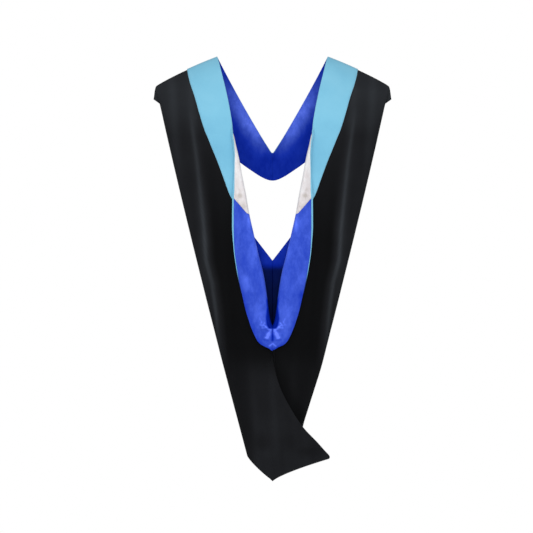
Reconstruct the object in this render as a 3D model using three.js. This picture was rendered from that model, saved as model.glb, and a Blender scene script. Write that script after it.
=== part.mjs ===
// Academic hood of the master's pattern, in the form that it takes on a wearer's shoulders.
// Millimetres, +Z up. The origin is the middle of the neck opening, level with the top of the shoulders.
// The wearer's back is towards -Y, where the lining is turned out, and the chest is towards +Y.
//
// The hood is one band of cloth around the neck. Its inner edge, trimmed with velvet, runs from the point
// of the front over the shoulder and down the back, where it is turned out and shows the lining. Its outer
// part folds round at the sides, returns behind the back as the under layer, and closes below as the tail.
// Each half is a grid of sections. Every layer of cloth is cut from that grid, at its own distance from it.
import * as THREE from "three";

// Outline of the hood
const hoodLength = 1060;
const neckHalfWidth = 137.5;
const shoulderHalfWidth = 291;
const shoulderDrop = 72.5;
const shoulderFlare = 6.5;
const shoulderEndHalfWidth = shoulderHalfWidth + shoulderFlare;
const shoulderEndDrop = 105;
const shoulderEndForward = 8;
const frontPointDrop = 238;
const frontPointWidth = 71.5;
const frontEdgeBend = 3;
const frontHemCurve = 1.28;
const shoulderTuck = 25;
const shoulderTuckDrop = 12.5;
const notchDrop = 509;
const notchBend = 8;
const sideEndHalfWidth = 64;
const sideEndDrop = 997;
const sideBelly = 6.5;

// How far the cloth stands off the line of the shoulders
const chestDepth = 126;
const bagDepth = 119;
const sideDepth = 76;
const underDepth = 78;
const neckSlope = 130;
const neckCurve = 0.72;
const sideSlope = 250;
const sideCurve = 0.75;
const underSlope = 220;
const shoulderRounding = 26;
const shoulderRise = 7;
const sideSwellDepth = 30;
const underSwellDepth = 9;
const frontSwellDepth = 5;
const frontSwellHeight = 2;
const closedSwellDepth = 2;
const cornerWidth = 8;
const cornerHeight = 6;
const foldHeight = 5;
const foldWidth = 17;

// Velvet, turned-out lining and tail
const velvetWidth = 79;
const velvetLip = 7;
const frontLip = 1;
const turnOutWidth = 60;
const rollRadius = 5;
const leastWidth = 2;
const finReach = 148;
const finSag = 0.76;
const tailSag = 8;
const tailPointDepth = 10;
const closedDepth = 4;
const tailPanelGap = 1.4;

// Cloth
const shellThickness = 1.2;
const liningThickness = 1;
const velvetThickness = 1.6;
const layerGap = 0.4;
const seamGap = 0.4;
const panelGap = 0.6;

// Front sections, from the middle of the chest to the shoulder. edge and hem are shares of the way along
// the two edges, edgeForward and hemForward shares of chestDepth, fold the share of the band before its
// hem, and round how far the band turns over the end of the shoulder. The lining reaches almost to the
// free edge here, frontLip being what it leaves of the velvet.
const frontSections = [
  { edge: 0.0, edgeForward: 0.9, hem: 0.0, hemForward: 1.0, fold: 0.88, round: 0 },
  { edge: 0.19, edgeForward: 0.86, hem: 0.17, hemForward: 0.96, fold: 0.89, round: 0 },
  { edge: 0.4, edgeForward: 0.77, hem: 0.35, hemForward: 0.86, fold: 0.88, round: 0 },
  { edge: 0.6, edgeForward: 0.64, hem: 0.55, hemForward: 0.7, fold: 0.87, round: 0.1 },
  { edge: 0.78, edgeForward: 0.47, hem: 0.75, hemForward: 0.48, fold: 0.85, round: 0.3 },
  { edge: 0.91, edgeForward: 0.29, hem: 0.9, hemForward: 0.26, fold: 0.81, round: 0.6 },
  { edge: 0.967, edgeForward: 0.16, hem: 0.98, hemForward: 0.14, fold: 0.77, round: 0.85 },
];

// Back sections, from the shoulder down to the point of the turned-out lining. free, roll, side and hem
// are how far the section's free edge, rolled edge, side fold and hem lie down, as shares of hoodLength.
// out is the rolled edge's distance from the middle, as a share of neckHalfWidth. turn is how far the
// edge is turned out, 1 being flat on the back, flap the width turned out, as a share of turnOutWidth,
// lip the velvet that shows round the edge, as a share of velvetLip, and round as at the front.
const backSections = [
  { free: 0.0, roll: 0.0, side: 0.068, hem: 0.099, out: 1.0, turn: 0, flap: 0, lip: 0.15, round: 1 },
  { free: 0.012, roll: 0.012, side: 0.078, hem: 0.112, out: 0.972, turn: 0, flap: 0, lip: 0.15, round: 0.85 },
  { free: 0.035, roll: 0.035, side: 0.09, hem: 0.127, out: 0.927, turn: 0, flap: 0, lip: 0.2, round: 0.6 },
  { free: 0.078, roll: 0.078, side: 0.118, hem: 0.153, out: 0.845, turn: 0, flap: 0, lip: 0.3, round: 0.3 },
  { free: 0.123, roll: 0.123, side: 0.151, hem: 0.184, out: 0.773, turn: 0, flap: 0, lip: 0.6, round: 0.1 },
  { free: 0.167, roll: 0.167, side: 0.191, hem: 0.219, out: 0.724, turn: 0, flap: 0, lip: 1, round: 0 },
  { free: 0.183, roll: 0.184, side: 0.211, hem: 0.241, out: 0.702, turn: 0.28, flap: 0.14, lip: 1, round: 0 },
  { free: 0.203, roll: 0.207, side: 0.235, hem: 0.27, out: 0.666, turn: 0.6, flap: 0.15, lip: 1, round: 0 },
  { free: 0.236, roll: 0.24, side: 0.269, hem: 0.309, out: 0.615, turn: 0.9, flap: 0.2, lip: 1, round: 0 },
  { free: 0.271, roll: 0.281, side: 0.307, hem: 0.354, out: 0.545, turn: 1, flap: 0.33, lip: 1, round: 0 },
  { free: 0.309, roll: 0.325, side: 0.347, hem: 0.394, out: 0.482, turn: 1, flap: 0.48, lip: 1, round: 0 },
  { free: 0.34, roll: 0.37, side: 0.389, hem: 0.429, out: 0.418, turn: 1, flap: 0.62, lip: 1, round: 0 },
  { free: 0.394, roll: 0.415, side: 0.427, hem: 0.458, out: 0.345, turn: 1, flap: 0.8, lip: 0.75, round: 0 },
  { free: 0.448, roll: 0.465, side: 0.472, hem: 0.48, out: 0.255, turn: 1, flap: 0.945, lip: 0.4, round: 0 },
  { free: 0.502, roll: 0.514, side: 0.519, hem: 0.526, out: 0.182, turn: 1, flap: 0.98, lip: 0.3, round: 0 },
  { free: 0.557, roll: 0.564, side: 0.566, hem: 0.571, out: 0.118, turn: 1, flap: 0.935, lip: 0.15, round: 0 },
  { free: 0.607, roll: 0.616, side: 0.617, hem: 0.62, out: 0.072, turn: 1, flap: 0.85, lip: 0.15, round: 0 },
  { free: 0.639, roll: 0.642, side: 0.644, hem: 0.646, out: 0.009, turn: 1, flap: 0.785, lip: 0.15, round: 0 },
  { free: 0.663, roll: 0.667, side: 0.67, hem: 0.67, out: 0, turn: 1, flap: 0.6, lip: 0.15, round: 0 },
  { free: 0.679, roll: 0.682, side: 0.685, hem: 0.685, out: 0, turn: 1, flap: 0.32, lip: 0.15, round: 0 },
];

// The velvet's width at the back sections, from the shoulder down, as a share of velvetWidth. It is drawn in
// where the edge begins to turn, and full again below the table's end.
const velvetShares = [1.04, 1.06, 1.06, 1.02, 0.98, 0.88, 0.905, 0.925, 0.93, 0.985, 1.02];

// Tail sections, down to the point. ridge is the drop of the ridge where the two halves meet, and centre
// and side those of the middle and the side fold. ridgeOut is how far the ridge has fallen over to the
// right, as a share of finReach, turn how far the left half is still turned out, draw how far the right
// side is drawn in below the left, and bag how much of the bag's depth is left.
const tailSections = [
  { ridge: 0.692, centre: 0.693, side: 0.696, ridgeOut: 0.02, turn: 0.7, draw: 0.0, bag: 1 },
  { ridge: 0.729, centre: 0.729, side: 0.729, ridgeOut: 0.095, turn: 0, draw: 0.0, bag: 1 },
  { ridge: 0.774, centre: 0.775, side: 0.774, ridgeOut: 0.225, turn: 0, draw: 0.02, bag: 0.95 },
  { ridge: 0.821, centre: 0.824, side: 0.821, ridgeOut: 0.372, turn: 0, draw: 0.05, bag: 0.85 },
  { ridge: 0.873, centre: 0.885, side: 0.87, ridgeOut: 0.536, turn: 0, draw: 0.08, bag: 0.72 },
  { ridge: 0.908, centre: 0.945, side: 0.908, ridgeOut: 0.761, turn: 0, draw: 0.05, bag: 0.5 },
  { ridge: 0.942, centre: 1.0, side: 0.938, ridgeOut: 1.0, turn: 0, draw: 0.0, bag: 0.2 },
];

// Folds that run down the back. top and bottom are shares of hoodLength, topOut and bottomOut shares of
// the way out from the middle to the side fold, and height and width shares of foldHeight and foldWidth.
const folds = [
  { top: 0.08, bottom: 0.72, topOut: 0.75, bottomOut: 0.97, height: 1, width: 1 },
  { top: 0.2, bottom: 0.66, topOut: 0.58, bottomOut: 0.72, height: -0.7, width: 1.2 },
  { top: 0.7, bottom: 1.05, topOut: 0.55, bottomOut: 0.6, height: 0.8, width: 1 },
];

// Lines of the grid that run the length of the hood, counted from the free edge
const LIP_LINE = 1;
const ROLL_TOP_LINE = 3;
const ROLL_END_LINE = 7;
const VELVET_LINE = 9;
const backShares = [0.2, 0.4, 0.6, 0.78, 0.91, 1];
const SIDE_LINE = VELVET_LINE + backShares.length;
const underShares = [0.14, 0.38, 0.7, 1];
const LAST_LINE = SIDE_LINE + underShares.length;

// Rows of the grid, counted from the middle of the chest
const SHOULDER_ROW = frontSections.length;
const CHEVRON_TOP_ROW = SHOULDER_ROW + 4;
const CHEVRON_END_ROW = SHOULDER_ROW + 11;
const NOTCH_ROW = SHOULDER_ROW + 13;
const POINT_ROW = SHOULDER_ROW + backSections.length - 1;

const CURVE_STEPS = 32;
const ARC_STEPS = 12;
const backing = liningThickness + layerGap;
const foldedStack = 2 * (shellThickness + 2 * layerGap + velvetThickness) + layerGap;

const { lerp } = THREE.MathUtils;
const settle = (depth, slope, curve, drop) => depth * (1 - Math.exp(-((Math.max(drop, 0) / slope) ** curve)));
const bump = (share) => 4 * share * (1 - share);

// In a section, x is the distance out from the middle of the body, whichever half it belongs to.
const point = (out, y, z) => new THREE.Vector3(out, y, z);

// How far back the rolled edge, the side fold and the under layer's hem lie at a height.
const bagAt = (drop) => -settle(bagDepth, neckSlope, neckCurve, drop);
const foldAt = (drop) => -settle(sideDepth, sideSlope, sideCurve, drop - shoulderDrop);
const underAt = (drop) => shoulderEndForward - settle(underDepth, underSlope, 1, drop - shoulderEndDrop);

// The side fold of the back: almost straight from the shoulder to the tail.
function sideAt(drop) {
  const share = THREE.MathUtils.clamp((drop - shoulderDrop) / (sideEndDrop - shoulderDrop), 0, 1);
  const belly = sideBelly * Math.sin(Math.PI * share ** 0.9);
  return lerp(shoulderHalfWidth, sideEndHalfWidth, share) + belly;
}

// The under layer's hem: tucked in below the end of the shoulder, then straight to the notch, and from
// there down the seam of the back.
function underHemAt(drop) {
  const tuckedIn = (drop - shoulderEndDrop) / shoulderTuckDrop;
  if (tuckedIn < 1) {
    return shoulderEndHalfWidth - shoulderTuck * tuckedIn;
  }
  const top = shoulderEndDrop + shoulderTuckDrop;
  const share = Math.min((drop - top) / (notchDrop - top), 1);
  const out = lerp(shoulderEndHalfWidth - shoulderTuck, 0, share) + notchBend * bump(share);
  return Math.max(out, seamGap / 2);
}

function bezier(a, b, c, d, steps) {
  return new THREE.CubicBezierCurve3(a, b, c, d).getPoints(steps);
}

// The side fold's handle: up along the shoulder where the band goes over it, and towards the back below.
function sideHandle(round, backwards) {
  return point(-round * shoulderRounding, backwards * (1 - round), round * shoulderRounding * 0.75);
}

// Fills a section's lines by length from the free edge, along its flap, roll, back and under layer.
function sampleSection({ flap, arc, back, under }, lipLength, velvetShare = 1) {
  const upper = [...flap, ...arc, ...back];
  const upperLength = lengths(upper);
  const underLength = lengths(under);
  const side = upperLength.at(-1);
  const rollTop = Math.max(upperLength[flap.length], lipLength + leastWidth);
  const rollEnd = Math.max(upperLength[flap.length + arc.length], rollTop + 3 * leastWidth);
  const velvetEnd = Math.max(velvetWidth * velvetShare, rollEnd + leastWidth);
  const stops = [0, lipLength, lerp(lipLength, rollTop, 0.5)];
  for (let line = ROLL_TOP_LINE; line <= ROLL_END_LINE; line++) {
    stops.push(lerp(rollTop, rollEnd, (line - ROLL_TOP_LINE) / (ROLL_END_LINE - ROLL_TOP_LINE)));
  }
  stops.push(lerp(rollEnd, velvetEnd, 0.5), velvetEnd);
  backShares.forEach((share) => stops.push(lerp(velvetEnd, side, share)));
  const section = stops.map((stop) => along(upper, upperLength, stop));
  underShares.forEach((share) => section.push(along(under, underLength, share * underLength.at(-1))));
  return section;
}

function lengths(points) {
  const total = [0];
  for (let i = 1; i < points.length; i++) {
    total.push(total[i - 1] + points[i].distanceTo(points[i - 1]));
  }
  return total;
}

function along(points, total, length) {
  let i = 1;
  while (i < points.length - 1 && total[i] < length) {
    i++;
  }
  const share = (length - total[i - 1]) / (total[i] - total[i - 1]);
  return points[i - 1].clone().lerp(points[i], THREE.MathUtils.clamp(share, 0, 1));
}

function frontSection(row) {
  const edge = point(
    Math.max(neckHalfWidth * row.edge, seamGap / 2),
    chestDepth * row.edgeForward,
    -frontPointDrop * (1 - row.edge) - frontEdgeBend * bump(row.edge),
  );
  const hemTop = frontPointDrop + frontPointWidth;
  const hem = point(
    Math.max(shoulderEndHalfWidth * row.hem, seamGap / 2),
    chestDepth * row.hemForward,
    -lerp(hemTop, shoulderEndDrop, row.hem ** frontHemCurve),
  );
  const fold = edge.clone().lerp(hem, row.fold);
  fold.add(point(row.round * cornerWidth, 0, row.round * cornerHeight));
  const third = fold.clone().sub(edge).divideScalar(3);
  const handle = third.clone().multiplyScalar(row.round - 1).add(sideHandle(row.round, 0));
  const upper = bezier(
    edge,
    edge.clone().add(third).add(point(0, frontSwellDepth, frontSwellHeight)),
    fold.clone().add(handle),
    fold,
    CURVE_STEPS,
  );
  const under = bezier(fold, fold.clone().lerp(hem, 0.33), fold.clone().lerp(hem, 0.67), hem, CURVE_STEPS);
  return sampleSection({ flap: [], arc: [], back: upper, under }, frontLip);
}

// The back layer from its rolled edge to the side fold.
function backCurve(start, fold, round, fullness, sag) {
  const inner = start.clone().lerp(fold, 0.45);
  inner.y = lerp(start.y, fold.y, 0.1 + 0.35 * round);
  inner.z += round * shoulderRise - sag;
  const outer = fold.clone().add(sideHandle(round, -fullness));
  outer.z -= sag;
  return bezier(start, inner, outer, fold, CURVE_STEPS).map(raisedByFolds);
}

// A point of the back layer, moved out by the folds that pass it.
function raisedByFolds(p) {
  const drop = -p.z / hoodLength;
  for (const fold of folds) {
    const share = THREE.MathUtils.clamp((drop - fold.top) / (fold.bottom - fold.top), 0, 1);
    const out = lerp(fold.topOut, fold.bottomOut, share) * sideAt(-p.z);
    const near = (p.x - out) / (foldWidth * fold.width);
    p.y -= foldHeight * fold.height * Math.sin(Math.PI * share) * Math.exp(-near * near);
  }
  return p;
}

// The under layer from the side fold to its hem or the seam of the back.
function underCurve(fold, hem, round) {
  const outer = fold.clone().add(point((cornerWidth / 2) * round, underSwellDepth * (1 - round), -cornerWidth * round));
  const inner = hem.clone().lerp(fold, 0.5);
  inner.y = hem.y;
  return bezier(fold, outer, inner, hem, CURVE_STEPS);
}

// The turned-out edge, from its free end to just before the start of the back layer. place gives the
// point of the flap at a length from the roll, and straight is the place of a flap that follows the turn.
function turnedEdge(start, turn, flapLength, place) {
  const angle = Math.PI * turn;
  const foot = flapLength > 0 ? place(0, 0) : start;
  const flap = [];
  const arc = [];
  for (let step = flapLength > 0 ? ARC_STEPS : 0; step > 0; step--) {
    const share = step / ARC_STEPS;
    flap.push(place(flapLength * share, share));
  }
  for (let step = turn > 0 ? ARC_STEPS : 0; step > 0; step--) {
    const share = step / ARC_STEPS;
    const inward = rollRadius * Math.sin(angle * share);
    const lifted = rollRadius * (1 - Math.cos(angle * share));
    arc.push(point(start.x - inward, start.y - lifted, lerp(start.z, foot.z, share)));
  }
  return { flap, arc };
}

function straightFlap(start, turn, reach) {
  const angle = Math.PI * turn;
  return point(
    start.x - rollRadius * Math.sin(angle) - reach * Math.cos(angle),
    start.y - rollRadius * (1 - Math.cos(angle)) - reach * Math.sin(angle),
    start.z,
  );
}

function backSection(row, index) {
  const drop = row.roll * hoodLength;
  const sideDrop = Math.max(row.side * hoodLength, shoulderDrop);
  const hemDrop = Math.max(row.hem * hoodLength, shoulderEndDrop);
  const tucked = row.turn > 0 ? backing + rollRadius : 0;
  const out = Math.max(row.out * neckHalfWidth, row.turn > 0 ? seamGap / 2 : 0) + tucked;
  const start = point(out, bagAt(drop), -drop);
  const fold = point(sideAt(sideDrop), foldAt(sideDrop), -sideDrop);
  const hem = point(underHemAt(hemDrop), underAt(hemDrop), -hemDrop);
  const back = backCurve(start, fold, row.round, sideSwellDepth, 0);
  const backLength = lengths(back);
  const flapLength = row.flap * turnOutWidth;
  const edge = turnedEdge(start, row.turn, flapLength, (reach, share) => {
    const end = straightFlap(start, row.turn, reach);
    if (row.turn === 1) {
      const behind = along(back, backLength, reach);
      end.x = behind.x;
      end.y = behind.y - lerp(2 * rollRadius, foldedStack, share * share);
    }
    end.z = lerp(start.z, -row.free * hoodLength, share);
    return end;
  });
  const under = underCurve(fold, hem, row.round);
  return sampleSection({ ...edge, back, under }, velvetLip * row.lip, velvetShares[index]);
}

// A section of the tail. Both halves run out to the ridge, the left one on top of the right.
function tailSection(row, half) {
  const isLeft = half === "left";
  const ridge = row.ridgeOut * finReach;
  const out = seamGap / 2 + backing + rollRadius;
  const centreDrop = row.centre * hoodLength;
  const sideDrop = row.side * hoodLength;
  const drawnTogether = underAt(centreDrop) - tailPointDepth;
  const start = point(out, lerp(drawnTogether - closedDepth, bagAt(centreDrop), row.bag), -centreDrop);
  const fold = point(sideAt(sideDrop), lerp(drawnTogether, foldAt(sideDrop), row.bag), -sideDrop);
  const hem = point(seamGap / 2, lerp(drawnTogether, underAt(centreDrop), row.bag), -centreDrop);
  const turn = isLeft ? row.turn : 1;
  const flapLength = isLeft ? (ridge + out) * (1 - turn) : Math.max(ridge - out, leastWidth);
  if (isLeft) {
    start.y -= (2 * rollRadius + tailPanelGap) * (1 - turn);
  } else {
    fold.x *= 1 - row.draw;
  }
  const edge = turnedEdge(start, turn, flapLength, (reach) => {
    const end = straightFlap(start, turn, reach);
    const across = THREE.MathUtils.clamp((isLeft ? -end.x : end.x) / Math.max(ridge, leastWidth), 0, 1);
    end.z = -lerp(row.centre, row.ridge, across ** finSag) * hoodLength;
    return end;
  });
  const back = backCurve(start, fold, 0, lerp(closedSwellDepth, sideSwellDepth, row.bag), tailSag * (1 - row.bag));
  return sampleSection({ ...edge, back, under: underCurve(fold, hem, 0) }, frontLip);
}

function gridOf(half) {
  const points = [
    ...frontSections.map(frontSection),
    ...backSections.map(backSection),
    ...tailSections.map((row) => tailSection(row, half)),
  ];
  return { points, normals: normalsOf(points) };
}

// Directions square to the cloth, towards its outer face. On the middle seams they stay in the seam.
function normalsOf(points) {
  const rows = points.length;
  const lines = points[0].length;
  return points.map((row, j) =>
    row.map((p, i) => {
      const across = points[j][Math.min(i + 1, lines - 1)].clone().sub(points[j][Math.max(i - 1, 0)]);
      const down = points[Math.min(j + 1, rows - 1)][i].clone().sub(points[Math.max(j - 1, 0)][i]);
      const normal = down.cross(across);
      const onSeam = j === 0 || (i === lines - 1 && j >= NOTCH_ROW);
      if (onSeam) {
        normal.x = 0;
      }
      return normal.normalize();
    }),
  );
}

// One layer of cloth: the cells of the grid that covers(row, line) takes, between two distances from it.
// Its edges are drawn in by half of panelGap, so that it lies clear of the panel that it is sewn to.
function clothSolid(grid, inner, outer, covers, half) {
  const rows = grid.points.length;
  const lines = grid.points[0].length;
  const inGrid = (j, i) => j >= 0 && i >= 0 && j < rows - 1 && i < lines - 1;
  const takes = (j, i) => inGrid(j, i) && covers(j, i);
  const vertices = [];
  const faces = [];
  const numbers = new Map();
  const sign = half === "left" ? -1 : 1;

  const vertex = (j, i, side) => {
    const key = (j * lines + i) * 2 + side;
    if (!numbers.has(key)) {
      numbers.set(key, vertices.length / 3);
      const p = drawnIn(grid.points, covers, j, i);
      p.addScaledVector(grid.normals[j][i], side ? outer : inner);
      vertices.push(sign * p.x, p.y, p.z);
    }
    return numbers.get(key);
  };
  const quad = (a, b, c, d) => {
    if (half === "left") {
      faces.push(a, c, b, a, d, c);
    } else {
      faces.push(a, b, c, a, c, d);
    }
  };

  for (let j = 0; j < rows - 1; j++) {
    for (let i = 0; i < lines - 1; i++) {
      if (!takes(j, i)) {
        continue;
      }
      quad(vertex(j, i, 1), vertex(j + 1, i, 1), vertex(j + 1, i + 1, 1), vertex(j, i + 1, 1));
      quad(vertex(j, i, 0), vertex(j, i + 1, 0), vertex(j + 1, i + 1, 0), vertex(j + 1, i, 0));
      const rim = [
        [j, i, j, i + 1, takes(j - 1, i)],
        [j, i + 1, j + 1, i + 1, takes(j, i + 1)],
        [j + 1, i + 1, j + 1, i, takes(j + 1, i)],
        [j + 1, i, j, i, takes(j, i - 1)],
      ];
      rim
        .filter((edge) => !edge[4])
        .forEach(([ja, ia, jb, ib]) =>
          quad(vertex(ja, ia, 0), vertex(ja, ia, 1), vertex(jb, ib, 1), vertex(jb, ib, 0)),
        );
    }
  }
  return new THREE.BufferGeometry()
    .setAttribute("position", new THREE.Float32BufferAttribute(vertices, 3))
    .setIndex(faces);
}

// A vertex, drawn in from the cells around it that belong to another panel.
function drawnIn(points, covers, j, i) {
  const lastRow = points.length - 2;
  const lastLine = points[0].length - 2;
  let rowStep = 0;
  let lineStep = 0;
  for (const row of [-1, 1]) {
    for (const line of [-1, 1]) {
      const cellRow = THREE.MathUtils.clamp(row < 0 ? j - 1 : j, 0, lastRow);
      const cellLine = THREE.MathUtils.clamp(line < 0 ? i - 1 : i, 0, lastLine);
      if (covers(cellRow, cellLine)) {
        rowStep += row;
        lineStep += line;
      }
    }
  }
  const p = points[j][i].clone();
  const drawTowards = (q) => p.addScaledVector(q.clone().sub(points[j][i]).normalize(), panelGap / 2);
  if (rowStep) {
    drawTowards(points[j + Math.sign(rowStep)][i]);
  }
  if (lineStep) {
    drawTowards(points[j][i + Math.sign(lineStep)]);
  }
  return p;
}

const blackCloth = new THREE.MeshStandardMaterial({ color: 0x14161a, roughness: 0.85, metalness: 0 });
const lightBlueVelvet = new THREE.MeshStandardMaterial({ color: 0x7fc4df, roughness: 0.9, metalness: 0 });
const royalBlueSatin = new THREE.MeshStandardMaterial({ color: 0x2338c8, roughness: 0.35, metalness: 0 });
const whiteSatin = new THREE.MeshStandardMaterial({ color: 0xe6e4e6, roughness: 0.4, metalness: 0 });

const inChevron = (row, line) => row >= CHEVRON_TOP_ROW && row < CHEVRON_END_ROW && line < SIDE_LINE;
const lined = (row, line) => row <= POINT_ROW && line >= LIP_LINE;

// The pieces of one half, each with the rows and lines that it covers.
const pieces = [
  {
    name: "shell",
    inner: 0,
    outer: shellThickness,
    material: blackCloth,
    covers: (row, line) => line >= LIP_LINE,
  },
  {
    name: "velvet_trim",
    inner: shellThickness + layerGap,
    outer: shellThickness + layerGap + velvetThickness,
    material: lightBlueVelvet,
    covers: (row, line) => row < POINT_ROW - 2 && line < VELVET_LINE,
  },
  {
    name: "front_lining",
    inner: -backing,
    outer: -layerGap,
    material: royalBlueSatin,
    covers: (row, line) => lined(row, line) && row < CHEVRON_TOP_ROW,
  },
  {
    name: "chevron",
    inner: -backing,
    outer: -layerGap,
    material: whiteSatin,
    covers: (row, line) => lined(row, line) && inChevron(row, line),
  },
  {
    name: "back_lining",
    inner: -backing,
    outer: -layerGap,
    material: royalBlueSatin,
    covers: (row, line) => lined(row, line) && row >= CHEVRON_TOP_ROW && !inChevron(row, line),
  },
];

const hood = new THREE.Group();
for (const half of ["left", "right"]) {
  const grid = gridOf(half);
  for (const piece of pieces) {
    const mesh = new THREE.Mesh(
      clothSolid(grid, piece.inner, piece.outer, piece.covers, half),
      piece.material,
    );
    mesh.name = `${piece.name}_${half}`;
    hood.add(mesh);
  }
}

export default hood;
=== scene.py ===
"""Looks of the academic hood: the CAD's layers of cloth, laid again on a finer grid."""

import math

import bpy
import numpy as np
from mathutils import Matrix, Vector

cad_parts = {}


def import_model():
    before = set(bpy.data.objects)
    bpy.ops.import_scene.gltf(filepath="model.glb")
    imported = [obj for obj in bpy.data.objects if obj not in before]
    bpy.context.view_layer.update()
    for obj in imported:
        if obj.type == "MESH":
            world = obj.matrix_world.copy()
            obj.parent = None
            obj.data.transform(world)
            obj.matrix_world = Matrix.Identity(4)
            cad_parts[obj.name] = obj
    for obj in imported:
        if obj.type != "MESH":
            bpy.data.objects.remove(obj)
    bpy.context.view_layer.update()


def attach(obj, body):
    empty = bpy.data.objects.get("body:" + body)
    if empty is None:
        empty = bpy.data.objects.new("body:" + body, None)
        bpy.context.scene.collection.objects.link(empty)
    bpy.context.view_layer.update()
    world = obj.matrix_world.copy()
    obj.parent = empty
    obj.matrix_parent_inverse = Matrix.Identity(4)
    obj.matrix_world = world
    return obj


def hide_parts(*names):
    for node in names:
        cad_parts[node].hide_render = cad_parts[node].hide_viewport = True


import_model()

# Outline of the hood, in millimetres
HOOD_LENGTH = 1060.0
NECK_HALF_WIDTH = 137.5
SHOULDER_HALF_WIDTH = 291.0
SHOULDER_DROP = 72.5
SHOULDER_END_HALF_WIDTH = 297.5
SHOULDER_END_DROP = 105.0
SHOULDER_END_FORWARD = 8.0
FRONT_POINT_DROP = 238.0
FRONT_POINT_WIDTH = 69.0
FRONT_EDGE_BEND = 6.0
FRONT_HEM_SLOPE = 0.76
FRONT_HEM_ROUNDING = 20.0
SHOULDER_TUCK = 25.0
SHOULDER_TUCK_DROP = 12.5
NOTCH_DROP = 509.0
NOTCH_BEND = 8.0
SIDE_END_HALF_WIDTH = 62.0
SIDE_END_DROP = 997.0
SIDE_BELLY = 6.5

# How round the neck's V is, as a share of its half width, and a power that lifts the side's belly
FRONT_EDGE_ROUNDING = 0.022
SIDE_BELLY_POWER = 0.9

# How far the cloth stands off the line of the shoulders
CHEST_DEPTH = 126.0
BAG_DEPTH = 119.0
SIDE_DEPTH = 76.0
UNDER_DEPTH = 78.0
NECK_SLOPE = 130.0
NECK_CURVE = 0.72
SIDE_SLOPE = 250.0
SIDE_CURVE = 0.75
UNDER_SLOPE = 220.0
SHOULDER_ROUNDING = 15.0
SHOULDER_RISE = 7.0
SIDE_SWELL_DEPTH = 30.0
UNDER_SWELL_DEPTH = 9.0
FRONT_SWELL_DEPTH = 5.0
FRONT_SWELL_HEIGHT = 2.0
CLOSED_SWELL_DEPTH = 2.0
CORNER_WIDTH = 8.0
CORNER_HEIGHT = 6.0
FOLD_HEIGHT = 5.0
FOLD_WIDTH = 17.0

# Handles of the section curves, as shares of the way from end to end or of the rounding
SHOULDER_HANDLE_RISE = 0.75
FRONT_UNDER_HANDLES = (0.33, 0.67)
BACK_HANDLE_OUT = 0.45
BACK_HANDLE_DEPTH = 0.1
BACK_HANDLE_ROUND_DEPTH = 0.35

# Velvet, turned-out lining and tail
VELVET_WIDTH = 79.0
VELVET_LIP = 7.0
FRONT_LIP = 1.0
TURN_OUT_WIDTH = 60.0
ROLL_RADIUS = 5.0
LEAST_WIDTH = 2.0
LEAST_ROLL = 3 * LEAST_WIDTH
FIN_REACH = 148.0
FIN_SAG = 0.76
TAIL_SAG = 8.0
TAIL_POINT_DEPTH = 10.0
CLOSED_DEPTH = 4.0
TAIL_PANEL_GAP = 1.4

# Cloth
SHELL = 1.2
LINING = 1.0
VELVET = 1.6
LAYER_GAP = 0.4
SEAM_GAP = 0.03
SEAM_OVERLAP = 0.1
PANEL_GAP = 0.04
RIM_RADIUS = 0.8
RIM_CELL_SHARE = 0.4
BACKING = LINING + LAYER_GAP
FOLDED_STACK = 2 * (SHELL + 2 * LAYER_GAP + VELVET) + LAYER_GAP
MM = 0.001
TINY = 1e-9

# How far the two rolls press into each other below the throat, and the drops where that begins and ends
ROLLS_PRESSED = 2.0
PRESSED_TOP = (660, 680)
PRESSED_END = (734, 765)

# Front sections: edge, edge forward, hem, hem forward, fold, round
FRONT = [
    (0.0, 0.9, 0.0, 1.0, 0.88, 0),
    (0.018, 0.8995, 0.016, 0.9995, 0.88, 0),
    (0.035, 0.8985, 0.031, 0.9985, 0.88, 0),
    (0.1, 0.89, 0.09, 0.99, 0.88, 0),
    (0.19, 0.86, 0.17, 0.96, 0.89, 0),
    (0.4, 0.77, 0.35, 0.86, 0.88, 0),
    (0.6, 0.64, 0.55, 0.7, 0.87, 0.1),
    (0.78, 0.47, 0.75, 0.48, 0.85, 0.3),
    (0.91, 0.29, 0.9, 0.26, 0.81, 0.6),
    (0.967, 0.16, 0.98, 0.14, 0.77, 0.85),
]

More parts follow.
